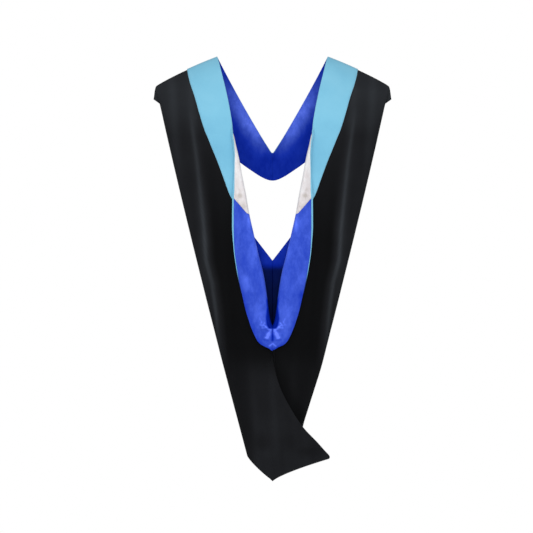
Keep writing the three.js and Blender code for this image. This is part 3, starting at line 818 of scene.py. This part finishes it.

# Turned-out lining: its outer edge, the edge of the throat, and the ring of painted deep shade round it
FLAP_DROP = [445, 527, 582, 612, 642, 672, 702, 710, 717, 733]
FLAP_OUT = [98, 91, 80, 73, 65.5, 55.5, 42, 37.5, 30, 0]
THROAT_EDGE = [(16, 597), (14, 608), (10, 624), (7.5, 652), (3, 667), (0, 673)]
RING_DROP = [590, 625, 652, 675]
RING_WIDTH = [0.5, 4.5, 9.5, 12]
RING_THROAT_OUT = [16, 10, 7.5, 0]
RING_SOFT_IN = 3
RING_SOFT_OUT = 2
RING_TOP = (590, 615)
RING_END = (676, 682)
RING_TONE = 0.14
SATIN_TONE = 0.57
FLAP_SHADE = 0.14
FLAP_SHADE_OUT = (2, 16)
FLAP_SHADE_TOP = (520, 620)

# Soft patches of painted light and shade on the turned-out lining: out, drop, half width, half height, change
# of tone
SATIN_PATCHES = [
    (66, 558, 9, 16, 0.13),
    (34, 645, 12, 26, 0.16),
    (46, 480, 12, 40, 0.08),
    (60, 592, 30, 9, -0.05),
    (59, 412, 4, 26, 0.22),
    (41, 482, 3, 20, 0.12),
]
# Soft patches on the white satin, in the same columns
WHITE_PATCHES = [
    (81, 347, 7, 5, -0.32),
    (84, 331, 4, 4, -0.16),
    (74, 374, 8, 7, -0.14),
    (87, 338, 3, 8, 0.14),
    (72, 330, 5, 12, 0.08),
]

# Creases that the tack at the bottom of the throat draws into the satin: points, half width, and strength,
# which is both the change of tone, a painted highlight where above zero and painted shade below it, and the
# height in millimetres
TACK_CREASES = [
    ([(5.5, 684), (11, 694)], 3.2, 0.4),
    ([(10, 693), (14, 700)], 4.4, 0.4),
    ([(11, 701.5), (18, 701)], 2.0, 0.22),
    ([(10, 708), (21, 706)], 2.4, -0.12),
    ([(27, 663), (31, 669), (24, 671), (26, 677), (16, 676)], 1.7, 0.26),
    ([(19, 664), (23, 669), (15, 675), (9, 681), (2, 680)], 1.8, 0.36),
    ([(31, 655), (27, 661)], 2.2, 0.15),
    ([(0, 715.5), (8, 722)], 2.0, 0.42),
]

# Painted shade in the seam between the halves of the turned-out lining, below the throat
SEAM_SHADE_OUT = 3.5
SEAM_SHADE_WIDENS = (688, 706)
SEAM_SHADE_TOP = (672, 682)
SEAM_SHADE_END = (706, 713)
SEAM_SHADE_TONE = 0.2

# Painted shade on the lining inside the bag, painted light on its rim, and painted shade where it grows dark
# inside the shoulders
BAG_DROP = [0, 515, 532, 580, 650]
BAG_TONE = [0.26, 0.26, 0.03, 0.018, 0.006]
LINING_FRONT = (0, 30)
LINING_INSIDE = (-98, -82)
SHOULDER_DARK = (220, 247)
ROLL_LINES = 2.5
BLUE_RIM_LIT = 0.3
BLUE_RIM_TOP = (400, 420)
BLUE_RIM_END = (520, 600)

# Velvet, deeper down the back and in painted shade where its lip ends, and white satin, with painted light at
# its seam and its rim
VELVET_TONE = 0.54
VELVET_FALL = 0.17
VELVET_FALL_DROP = (60, 260)
LIP_SHADE = 0.45
LIP_SHADE_DROP = (500, 590)
WHITE_TONE = 0.56
WHITE_FALL = 0.14
WHITE_FALL_DROP = (262, 350)
WHITE_SEAM_LIT = 0.3
WHITE_SEAM_LINES = 1.5
WHITE_RIM_LIT = 0.6

# The ridge of the tail, painted light down the tail's middle and at its hem, painted shade beside the ridge,
# and soft patches on its cloth
TAIL_TOP = (740, 812)
TAIL_LEFT_TONE = 0.18
TAIL_RIGHT_TONE = 0.17
TAIL_MIDDLE = (100, 25)
TAIL_MIDDLE_LIT = 0.14
TAIL_HEM = (950, 1000)
TAIL_HEM_LIT = 0.03
RIDGE_FADE = (8, 40)
RIDGE_SHADE = 0.08
RIDGE_DROP = [733, 773, 820, 870, 925, 998]
RIDGE_OUT = [0, 5, 18.5, 42.5, 78, 142]
TAIL_PATCHES = [
    (-9, 920, 25, 50, 0.05),
    (31, 968, 15, 28, -0.06),
    (19, 990, 20, 15, 0.05),
    (-41, 958, 20, 22, -0.05),
    (-91, 985, 28, 12, -0.08),
]


def near_line(x, drop, points):
    """Distance of each vertex from a line through the points."""
    distance = np.full(x.shape, np.inf)
    for (x0, d0), (x1, d1) in zip(points, points[1:]):
        length = (x1 - x0) ** 2 + (d1 - d0) ** 2
        share = np.clip(((x - x0) * (x1 - x0) + (drop - d0) * (d1 - d0)) / length, 0, 1)
        distance = np.minimum(distance, np.hypot(x - lerp(x0, x1, share), drop - lerp(d0, d1, share)))
    return distance


def patched(x, drop, patches):
    """The sum of the soft patches' changes."""
    total = np.zeros(x.shape)
    for out, down, half_width, half_height, change in patches:
        total += change * np.exp(-(((x - out) / half_width) ** 2 + ((drop - down) / half_height) ** 2))
    return total


def shell_tone(grid, sign):
    """Painted light and shade on the black cloth: deep shade beside the turned-out edge, lighter outside the
    long fold.
    """
    x = grid[..., 0]
    drop = -grid[..., 2]
    from_streak = x - np.interp(drop, STREAK_DROP, STREAK_OUT)
    inner = np.interp(drop, SHELL_INNER_DROP, SHELL_INNER_TONE)
    outer = np.interp(drop, SHELL_OUTER_DROP, SHELL_OUTER_TONE)
    tone = lerp(inner, outer, smooth(*STREAK_FADE, from_streak))
    shown = within(STREAK_TOP, STREAK_END, drop) * np.interp(drop, STREAK_SHOWN_DROP, STREAK_SHOWN)
    tone = tone + STREAK_TONE * hill(from_streak, STREAK_WIDTH) * shown
    if sign < 0:
        tail = TAIL_LEFT_TONE + TAIL_MIDDLE_LIT * smooth(*TAIL_MIDDLE, x)
        tail = tail + TAIL_HEM_LIT * smooth(*TAIL_HEM, drop) + patched(x, drop, TAIL_PATCHES)
    else:
        from_ridge = x - np.interp(drop, RIDGE_DROP, RIDGE_OUT)
        tail = TAIL_RIGHT_TONE - RIDGE_SHADE * (1 - smooth(*RIDGE_FADE, from_ridge))
    tone = lerp(tone, tail, smooth(*TAIL_TOP, drop))
    stripes = ripple(x / STRIPE_ACROSS + drop / STRIPE_SLANT, drop / STRIPE_DOWN, STRIPE_SEED)
    return tone * (1 + STRIPE_TONE * stripes)


def along_roll(grid):
    """1 where the cloth turns over at the edge, 0 away from it."""
    return hill(np.arange(grid.shape[1]) - ROLL_LINE, ROLL_LINES)


def front_lining_tone(x, drop):
    """Painted light along the free edge, painted shade towards the hem and beside the velvet."""
    from_edge = x - np.interp(drop, FRONT_EDGE_DROP, FRONT_EDGE_OUT)
    lit = np.interp(drop, FRONT_LIT_DROP, FRONT_LIT) * (1 - smooth(*FRONT_LIT_FADE, from_edge))
    return FRONT_TONE + FRONT_LIT_TONE * lit


def turned_lining_tone(x, drop):
    """Painted light and shade: lit patches, a darker outer edge, a ring of deep shade round the throat and
    highlights on the creases at the tack.
    """
    from_outer = np.interp(drop, FLAP_DROP, FLAP_OUT) - x
    tone = SATIN_TONE + patched(x, drop, SATIN_PATCHES)
    tone = tone - FLAP_SHADE * (1 - smooth(*FLAP_SHADE_OUT, from_outer)) * smooth(*FLAP_SHADE_TOP, drop)
    for points, half_width, change in TACK_CREASES:
        tone = tone + change * hill(near_line(x, drop, points), half_width)
    seam_out = SEAM_SHADE_OUT * (1 + smooth(*SEAM_SHADE_WIDENS, drop))
    seam = (1 - smooth(0, seam_out, x)) * within(SEAM_SHADE_TOP, SEAM_SHADE_END, drop)
    ring_width = np.interp(drop, RING_DROP, RING_WIDTH)
    from_throat = near_line(x, drop, THROAT_EDGE)
    ring = 1 - smooth(ring_width - RING_SOFT_IN, ring_width + RING_SOFT_OUT, from_throat)
    inside_throat = (x < np.interp(drop, RING_DROP, RING_THROAT_OUT)) * (drop > RING_DROP[0])
    ring = np.maximum(ring, inside_throat) * within(RING_TOP, RING_END, drop)
    return lerp(lerp(tone, SEAM_SHADE_TONE, seam), RING_TONE, ring)


def bag_lining_tone(drop):
    """Painted shade: blue beside the notch, nearly black further down inside."""
    return np.interp(drop, BAG_DROP, BAG_TONE)


def lining_tone(grid, _sign):
    """Painted light and shade on the blue satin."""
    x = grid[..., 0]
    drop = -grid[..., 2]
    front = smooth(*LINING_FRONT, grid[..., 1])
    inside = smooth(*LINING_INSIDE, grid[..., 1]) * (1 - front)
    tone = lerp(turned_lining_tone(x, drop), bag_lining_tone(drop), inside)
    rim = along_roll(grid) * within(BLUE_RIM_TOP, BLUE_RIM_END, drop)
    tone = lerp(tone + BLUE_RIM_LIT * rim, front_lining_tone(x, drop), front)
    return lerp(tone, 0, smooth(*SHOULDER_DARK, x))


def velvet_tone(grid, _sign):
    """Brightness of the velvet: a little deeper down the back, and lost in shade where the lip ends."""
    drop = -grid[..., 2]
    tone = VELVET_TONE - VELVET_FALL * smooth(*VELVET_FALL_DROP, drop)
    lip = np.arange(grid.shape[1]) <= LIP_LINE + 1
    return tone - LIP_SHADE * smooth(*LIP_SHADE_DROP, drop) * lip


def white_tone(grid, _sign):
    """Brightness of the white satin: painted light at the seam with the velvet and along its rim, darker and
    patchy towards the bottom.
    """
    x = grid[..., 0]
    drop = -grid[..., 2]
    tone = WHITE_TONE - WHITE_FALL * smooth(*WHITE_FALL_DROP, drop) + patched(x, drop, WHITE_PATCHES)
    at_seam = hill(np.arange(grid.shape[1]) - LIP_LINE, WHITE_SEAM_LINES)
    return tone + WHITE_SEAM_LIT * at_seam + WHITE_RIM_LIT * along_roll(grid)


# Surface of each material: roughness, sheen, roughness of the sheen, specular level
SURFACES = {
    "black_cloth": (0.75, 0.01, 0.5, 0.04),
    "light_blue_velvet": (0.85, 0.5, 0.35, 0.15),
    "royal_blue_satin": (0.4, 0, 0.4, 0.1),
    "white_satin": (0.4, 0, 0.4, 0.3),
    "studio_floor": (0.8, 0, 0.5, 0.5),
}

# Colours by tone, from dark to light: tone, linear red, green and blue
BLACK_STOPS = [
    (0.0, (0.0005, 0.0005, 0.0005)),
    (0.3, (0.0095, 0.010, 0.0118)),
    (1.0, (0.038, 0.043, 0.05)),
]
VELVET_STOPS = [
    (0.0, (0.01, 0.03, 0.2)),
    (0.25, (0.17, 0.47, 0.67)),
    (0.5, (0.215, 0.55, 0.745)),
    (0.85, (0.27, 0.61, 0.79)),
]
BLUE_STOPS = [
    (0.0, (0.0, 0.001, 0.01)),
    (0.2, (0.001, 0.015, 0.34)),
    (0.35, (0.009, 0.036, 0.47)),
    (0.55, (0.037, 0.082, 0.56)),
    (0.75, (0.07, 0.135, 0.74)),
    (0.95, (0.115, 0.2, 0.95)),
    (1.0, (0.14, 0.225, 1.0)),
]
WHITE_STOPS = [
    (0.2, (0.5, 0.46, 0.44)),
    (0.42, (0.68, 0.64, 0.655)),
    (0.6, (0.74, 0.735, 0.755)),
    (0.85, (0.85, 0.84, 0.86)),
    (1.0, (0.96, 0.95, 0.97)),
]

# Threads in metres, the pile's change of tone, the satin's stretch and slant, the velvet's sheen
CLOTH_THREAD = 0.0016
SATIN_THREAD = 0.0009
PILE_TONE = 0.3
SATIN_STRETCH = (1, 1, 0.55)
SATIN_SLANT = (0, 0.5, 0)
SHEEN_TINT = (0.75, 0.92, 1.0, 1)


def new_material(name):
    roughness, sheen, sheen_roughness, specular = SURFACES[name]
    material = bpy.data.materials.new(name)
    material.use_nodes = True
    nodes = material.node_tree.nodes
    shader = nodes["Principled BSDF"]
    shader.inputs["Roughness"].default_value = roughness
    shader.inputs["Sheen Weight"].default_value = sheen
    shader.inputs["Sheen Roughness"].default_value = sheen_roughness
    shader.inputs["Specular IOR Level"].default_value = specular
    return material, nodes, material.node_tree.links, shader


def noise(nodes, links, vector, scale, detail, roughness=0.5):
    node = nodes.new("ShaderNodeTexNoise")
    node.inputs["Scale"].default_value = scale
    node.inputs["Detail"].default_value = detail
    node.inputs["Roughness"].default_value = roughness
    links.new(vector, node.inputs["Vector"])
    return node.outputs["Fac"]


def maths(nodes, links, operation, first, second):
    node = nodes.new("ShaderNodeMath")
    node.operation = operation
    for socket, value in zip(node.inputs, (first, second)):
        if isinstance(value, (int, float)):
            socket.default_value = value
        else:
            links.new(value, socket)
    return node.outputs[0]


def ramp(nodes, links, value, stops):
    node = nodes.new("ShaderNodeValToRGB")
    elements = node.color_ramp.elements
    while len(elements) < len(stops):
        elements.new(0.5)
    for element, (position, colour) in zip(elements, stops):
        element.position = position
        element.color = (*colour, 1)
    links.new(value, node.inputs["Fac"])
    return node.outputs["Color"]


def bumped(nodes, links, shader, height, distance, strength, below=None):
    node = nodes.new("ShaderNodeBump")
    node.inputs["Distance"].default_value = distance
    node.inputs["Strength"].default_value = strength
    links.new(height, node.inputs["Height"])
    if below is not None:
        links.new(below, node.inputs["Normal"])
    links.new(node.outputs["Normal"], shader.inputs["Normal"])
    return node.outputs["Normal"]


def coordinates(nodes):
    return nodes.new("ShaderNodeTexCoord").outputs["Object"]


def tone_of(nodes):
    node = nodes.new("ShaderNodeAttribute")
    node.attribute_name = "tone"
    return node.outputs["Fac"]


def threads(nodes, links, period, slant):
    """Height of woven threads: two sets of bands on the cloth's own lines, a twill where slant is 1."""
    uv = nodes.new("ShaderNodeUVMap")
    uv.uv_map = "Weave"
    split = nodes.new("ShaderNodeSeparateXYZ")
    links.new(uv.outputs["UV"], split.inputs[0])
    rate = 2 * math.pi / period
    u = maths(nodes, links, "MULTIPLY", split.outputs[0], rate)
    v = maths(nodes, links, "MULTIPLY", split.outputs[1], rate)
    if slant:
        v = maths(nodes, links, "ADD", v, u)
    warp = maths(nodes, links, "SINE", u, 0)
    weft = maths(nodes, links, "SINE", v, 0)
    return maths(nodes, links, "MULTIPLY", warp, weft)


def centred(nodes, links, value, share):
    """A noise between 0 and 1 as a change above and below zero."""
    return maths(nodes, links, "MULTIPLY", maths(nodes, links, "SUBTRACT", value, 0.5), share)


def clouded(nodes, links, cloud, share):
    """The painted brightness of the piece, with clouds laid over it in proportion."""
    shift = centred(nodes, links, cloud, share)
    return maths(nodes, links, "MULTIPLY", tone_of(nodes), maths(nodes, links, "ADD", shift, 1.0))


def black_cloth():
    material, nodes, links, shader = new_material("black_cloth")
    place = coordinates(nodes)
    tone = clouded(nodes, links, noise(nodes, links, place, scale=14, detail=3), share=0.4)
    links.new(ramp(nodes, links, tone, BLACK_STOPS), shader.inputs["Base Color"])
    weave = threads(nodes, links, CLOTH_THREAD, slant=1)
    fine = bumped(nodes, links, shader, weave, distance=0.0001, strength=0.5)
    creases = noise(nodes, links, place, scale=45, detail=4)
    bumped(nodes, links, shader, creases, distance=0.0012, strength=0.35, below=fine)
    return material


def light_blue_velvet():
    material, nodes, links, shader = new_material("light_blue_velvet")
    shader.inputs["Sheen Tint"].default_value = SHEEN_TINT
    place = coordinates(nodes)
    tone = clouded(nodes, links, noise(nodes, links, place, scale=16, detail=3), share=1.0)
    pile = noise(nodes, links, place, scale=900, detail=2)
    tone = maths(nodes, links, "ADD", tone, centred(nodes, links, pile, PILE_TONE))
    links.new(ramp(nodes, links, tone, VELVET_STOPS), shader.inputs["Base Color"])
    bumped(nodes, links, shader, pile, distance=0.0005, strength=0.5)
    return material


def satin(name, stops, tint, cloud_scale, cloud_share):
    material, nodes, links, shader = new_material(name)
    shader.inputs["Specular Tint"].default_value = (*tint, 1)
    slanted = nodes.new("ShaderNodeMapping")
    slanted.inputs["Scale"].default_value = SATIN_STRETCH
    slanted.inputs["Rotation"].default_value = SATIN_SLANT
    links.new(coordinates(nodes), slanted.inputs["Vector"])
    place = slanted.outputs[0]
    # The clouds are painted light and shade of the satin's crinkles
    cloud = noise(nodes, links, place, cloud_scale, detail=5, roughness=0.72)
    tone = clouded(nodes, links, cloud, cloud_share)
    links.new(ramp(nodes, links, tone, stops), shader.inputs["Base Color"])
    creases = noise(nodes, links, place, scale=55, detail=2)
    weave = threads(nodes, links, SATIN_THREAD, slant=0)
    fine = bumped(nodes, links, shader, weave, distance=0.00003, strength=0.3)
    bumped(nodes, links, shader, creases, distance=0.002, strength=0.6, below=fine)
    return material


def royal_blue_satin():
    return satin("royal_blue_satin", BLUE_STOPS, tint=(0.1, 0.2, 1.0), cloud_scale=45, cloud_share=1.1)


def white_satin():
    return satin("white_satin", WHITE_STOPS, tint=(1, 1, 1), cloud_scale=75, cloud_share=1.8)


MATERIALS = {
    "black_cloth": black_cloth(),
    "light_blue_velvet": light_blue_velvet(),
    "royal_blue_satin": royal_blue_satin(),
    "white_satin": white_satin(),
}


def build_half(half):
    sign = -1 if half == "left" else 1
    rows = [front_section(row) for row in FRONT]
    rows += [back_section(row, share) for row, share in zip(BACK, VELVET_SHARES)]
    rows += [tail_section(row, half) for row in TAIL]
    grid, row_at = fine_rows(np.array(rows))
    grid = crumpled(relaxed(grid), half)
    notch = row_at[NOTCH_ROW]
    grid[0, :, 0] = -SEAM_OVERLAP
    grid[notch:, -1, 0] = -SEAM_OVERLAP
    normal = normals_of(grid, notch)
    row = np.arange(grid.shape[0] - 1)[:, None]
    line = np.arange(grid.shape[1] - 1)[None, :]
    every = (row >= 0) & (line >= 0)
    in_front = row < row_at[SHOULDER_ROW]
    lined = every & (row < row_at[POINT_ROW + 1]) & ((line >= LIP_LINE) | in_front)
    below_top = row >= row_at[CHEVRON_TOP_ROW]
    chevron = lined & below_top & (row < row_at[CHEVRON_END_ROW]) & (line < SIDE_LINE)
    lip_shows = row < row_at[LIP_END_ROW]
    velvet_inner = np.full(grid.shape[:2], SHELL + LAYER_GAP)
    velvet_inner[row_at[SHOULDER_ROW] + 1 :, :LIP_LINE] = -BACKING
    lining_outer = np.full(grid.shape[:2], -LAYER_GAP)
    lining_outer[: row_at[SHOULDER_ROW], : LIP_LINE - 1] = SHELL
    layers = [
        ("shell", every & (line >= LIP_LINE), 0, SHELL, "black_cloth", shell_tone),
        (
            "velvet_trim",
            every & (row < row_at[VELVET_END_ROW]) & (line < VELVET_LINE) & ((line >= LIP_LINE) | lip_shows),
            velvet_inner,
            SHELL + LAYER_GAP + VELVET,
            "light_blue_velvet",
            velvet_tone,
        ),
        ("front_lining", lined & ~below_top, -BACKING, lining_outer, "royal_blue_satin", lining_tone),
        ("chevron", chevron, -BACKING, -LAYER_GAP, "white_satin", white_tone),
        ("back_lining", lined & below_top & ~chevron, -BACKING, -LAYER_GAP, "royal_blue_satin", lining_tone),
    ]
    for name, cells, inner, outer, slot, tone in layers:
        node = f"{name}_{half}"
        piece = cloth(f"{node}_cloth", grid, normal, tone(grid, sign), cells, inner, outer, notch, half)
        piece.data.materials.append(MATERIALS[slot])
        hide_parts(node)
        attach(piece, "root")
        width, length, area = flat_size(grid, cells)


for half in ("left", "right"):
    build_half(half)

# Studio, in metres
FLOOR_HALF_SIZE = 1.6
FLOOR_HEIGHT = -1.32
FLOOR_COLOUR = (0.82, 0.82, 0.82, 1)
LIGHT_AIM = (0, 0, -0.45)
WHITE = (1, 1, 1, 1)
WORLD_LIGHT = 0.42
WORLD_SHOWN = 1.0

# Softboxes: name, place, size, power
SOFTBOXES = [
    ("back_softbox", (0, -3.0, -0.1), 1.5, 43),
    ("left_softbox", (-1.7, -2.3, 1.0), 1.3, 13),
    ("right_softbox", (1.7, -2.3, 1.0), 1.3, 10),
]

# Camera: the middle and width of its view, how far away it stands, and its sensor in millimetres
VIEW_MIDDLE = (-0.015, -0.06, -0.52375)
VIEW_WIDTH = 1.3325
CAMERA_DISTANCE = 20.0
CAMERA_REACH = 100
SENSOR_WIDTH = 36


def floor():
    size = FLOOR_HALF_SIZE
    corners = [(x * size, y * size, FLOOR_HEIGHT) for x, y in ((-1, -1), (1, -1), (1, 1), (-1, 1))]
    mesh = bpy.data.meshes.new("floor")
    mesh.from_pydata(corners, [], [(0, 1, 2, 3)])
    material, *_, shader = new_material("studio_floor")
    shader.inputs["Base Color"].default_value = FLOOR_COLOUR
    mesh.materials.append(material)
    placed("floor", mesh)


def area_light(name, place, size, power):
    data = bpy.data.lights.new(name, "AREA")
    data.size = size
    data.energy = power
    light = placed(name, data)
    light.location = place
    direction = np.array(LIGHT_AIM, float) - np.array(place, float)
    light.rotation_euler = Vector(direction).to_track_quat("-Z", "Y").to_euler()


def world():
    scene_world = bpy.data.worlds.new("studio")
    scene_world.use_nodes = True
    nodes = scene_world.node_tree.nodes
    links = scene_world.node_tree.links
    background = nodes["Background"]
    background.inputs["Color"].default_value = WHITE
    path = nodes.new("ShaderNodeLightPath")
    strength = nodes.new("ShaderNodeMapRange")
    strength.inputs["To Min"].default_value = WORLD_LIGHT
    strength.inputs["To Max"].default_value = WORLD_SHOWN
    links.new(path.outputs["Is Camera Ray"], strength.inputs["Value"])
    links.new(strength.outputs[0], background.inputs["Strength"])
    bpy.context.scene.world = scene_world


def camera():
    """The photo's camera: level, square on to the back, far enough for parallel edges to stay parallel."""
    data = bpy.data.cameras.new("camera")
    data.sensor_width = SENSOR_WIDTH
    data.lens = SENSOR_WIDTH * CAMERA_DISTANCE / VIEW_WIDTH
    data.clip_end = CAMERA_REACH
    view = placed("camera", data)
    view.location = (VIEW_MIDDLE[0], VIEW_MIDDLE[1] - CAMERA_DISTANCE, VIEW_MIDDLE[2])
    view.rotation_euler = (math.pi / 2, 0, 0)
    bpy.context.scene.camera = view


floor()
world()
for softbox in SOFTBOXES:
    area_light(*softbox)
camera()
bpy.context.scene.view_settings.view_transform = "Standard"
